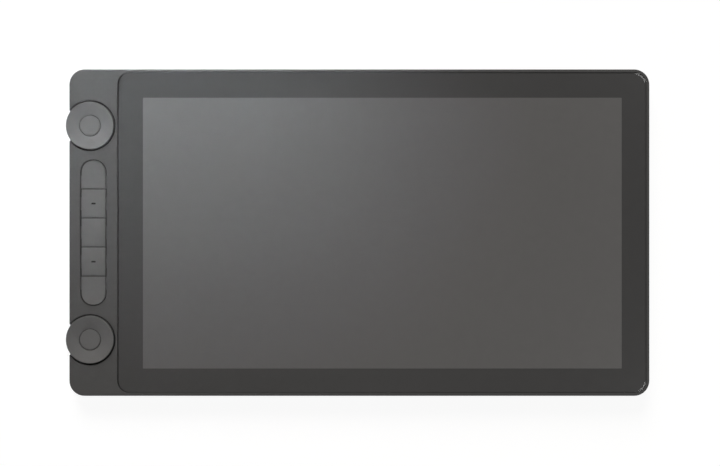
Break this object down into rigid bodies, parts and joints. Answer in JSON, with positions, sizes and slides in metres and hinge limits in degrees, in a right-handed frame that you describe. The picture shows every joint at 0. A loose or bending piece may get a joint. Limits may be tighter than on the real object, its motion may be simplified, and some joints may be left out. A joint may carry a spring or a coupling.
{
  "type": "graphics tablet with screen",
  "caption": "Flat pen display with a glass-covered screen, a control bar of turning dials with push buttons and a row of keys, rubber foot strips and USB-C sockets in one edge.",
  "frame": {"origin": "middle of the part's footprint, dials included, on the surface that the feet rest on", "axes": "+X along the long side away from the control bar, +Y towards the edge with the sockets, +Z out of the screen"},
  "size_m": [0.358, 0.2004, 0.0126],
  "materials": {
    "frame_plastic": "fine-textured dark grey moulding",
    "cover_plastic": "fine-textured dark grey moulding",
    "key_plastic": "smooth grey moulding",
    "dial_plastic": "soft-touch grey moulding",
    "cover_glass": "etched anti-glare glass",
    "border_ink": "black print",
    "tape": "black foam tape",
    "bond": "clear adhesive",
    "lcd_glass": "dark polarised glass",
    "film": "white film",
    "light_guide": "clear acrylic",
    "led_strip": "lamp strip",
    "tray_metal": "pressed sheet",
    "shield_metal": "sheet",
    "plate_metal": "cast and machined",
    "circuit_board": "black solder mask",
    "black_plastic": "moulded",
    "white_plastic": "moulded",
    "port_steel": "drawn shell",
    "bush_brass": "turned",
    "spring_steel": "bright",
    "screw_steel": "plated",
    "foot_rubber": "anti-slip rubber",
    "cable_film": "polyimide film"
  },
  "bodies": {
    "chassis": {"front_frame": "frame_plastic", "rear_cover": "cover_plastic", "cover_glass": "cover_glass", "border_mask": "border_ink", "glass_tape": "tape", "optical_bond": "bond", "lcd_front_glass": "lcd_glass", "lcd_rear_glass": "lcd_glass", "backlight_films": "film", "light_guide": "light_guide", "reflector_sheet": "film", "led_strip": "led_strip", "backlight_tray": "tray_metal", "digitizer_board": "circuit_board", "shield_sheet": "shield_metal", "mid_plate": "plate_metal", "main_board": "circuit_board", "shield_can": "shield_metal", "board_chips": "black_plastic", "cable_sockets": "white_plastic", "left_usb_shell": "port_steel", "right_usb_shell": "port_steel", "usb_tongues": "black_plastic", "control_board": "circuit_board", "key_switches": "black_plastic", "dial_switches": "black_plastic", "dial_sensors": "black_plastic", "power_switch": "black_plastic", "foot_strips": "foot_rubber", "case_screws": "screw_steel", "plate_screws": "screw_steel", "board_screws": "screw_steel", "display_cable": "cable_film", "digitizer_cable": "cable_film", "control_cable": "cable_film", "upper_bush": "bush_brass", "lower_bush": "bush_brass"},
    "upper_dial": {"upper_dial": "dial_plastic", "upper_clip": "spring_steel", "upper_code_disc": "black_plastic"},
    "upper_button": {"upper_button": "dial_plastic", "upper_plunger": "white_plastic"},
    "lower_dial": {"lower_dial": "dial_plastic", "lower_clip": "spring_steel", "lower_code_disc": "black_plastic"},
    "lower_button": {"lower_button": "dial_plastic", "lower_plunger": "white_plastic"},
    "key_1": {"key_1": "key_plastic", "key_plunger_1": "white_plastic"},
    "key_2": {"key_2": "key_plastic", "key_plunger_2": "white_plastic"},
    "key_3": {"key_3": "key_plastic", "key_plunger_3": "white_plastic"},
    "key_4": {"key_4": "key_plastic", "key_plunger_4": "white_plastic"},
    "key_5": {"key_5": "key_plastic", "key_plunger_5": "white_plastic"},
    "power_button": {"power_button": "frame_plastic", "power_plunger": "white_plastic"}
  },
  "joints": [
    {"name": "upper_dial_turn", "type": "hinge", "parent": "chassis", "child": "upper_dial", "pos_m": [-0.16435, 0.0657, 0.01], "axis": [0, 0, 1], "continuous": true},
    {"name": "upper_button_press", "type": "slide", "parent": "chassis", "child": "upper_button", "axis": [0, 0, -1], "range_m": [0, 0.0004], "stiffness_N_per_m": 3000},
    {"name": "lower_dial_turn", "type": "hinge", "parent": "chassis", "child": "lower_dial", "pos_m": [-0.16435, -0.0657, 0.01], "axis": [0, 0, 1], "continuous": true},
    {"name": "lower_button_press", "type": "slide", "parent": "chassis", "child": "lower_button", "axis": [0, 0, -1], "range_m": [0, 0.0004], "stiffness_N_per_m": 3000},
    {"name": "key_1_press", "type": "slide", "parent": "chassis", "child": "key_1", "axis": [0, 0, -1], "range_m": [0, 0.0008], "stiffness_N_per_m": 900},
    {"name": "key_2_press", "type": "slide", "parent": "chassis", "child": "key_2", "axis": [0, 0, -1], "range_m": [0, 0.0008], "stiffness_N_per_m": 900},
    {"name": "key_3_press", "type": "slide", "parent": "chassis", "child": "key_3", "axis": [0, 0, -1], "range_m": [0, 0.0008], "stiffness_N_per_m": 900},
    {"name": "key_4_press", "type": "slide", "parent": "chassis", "child": "key_4", "axis": [0, 0, -1], "range_m": [0, 0.0008], "stiffness_N_per_m": 900},
    {"name": "key_5_press", "type": "slide", "parent": "chassis", "child": "key_5", "axis": [0, 0, -1], "range_m": [0, 0.0008], "stiffness_N_per_m": 900},
    {"name": "power_press", "type": "slide", "parent": "chassis", "child": "power_button", "axis": [0, -1, 0], "range_m": [0, 0.0004], "stiffness_N_per_m": 3000}
  ]
}
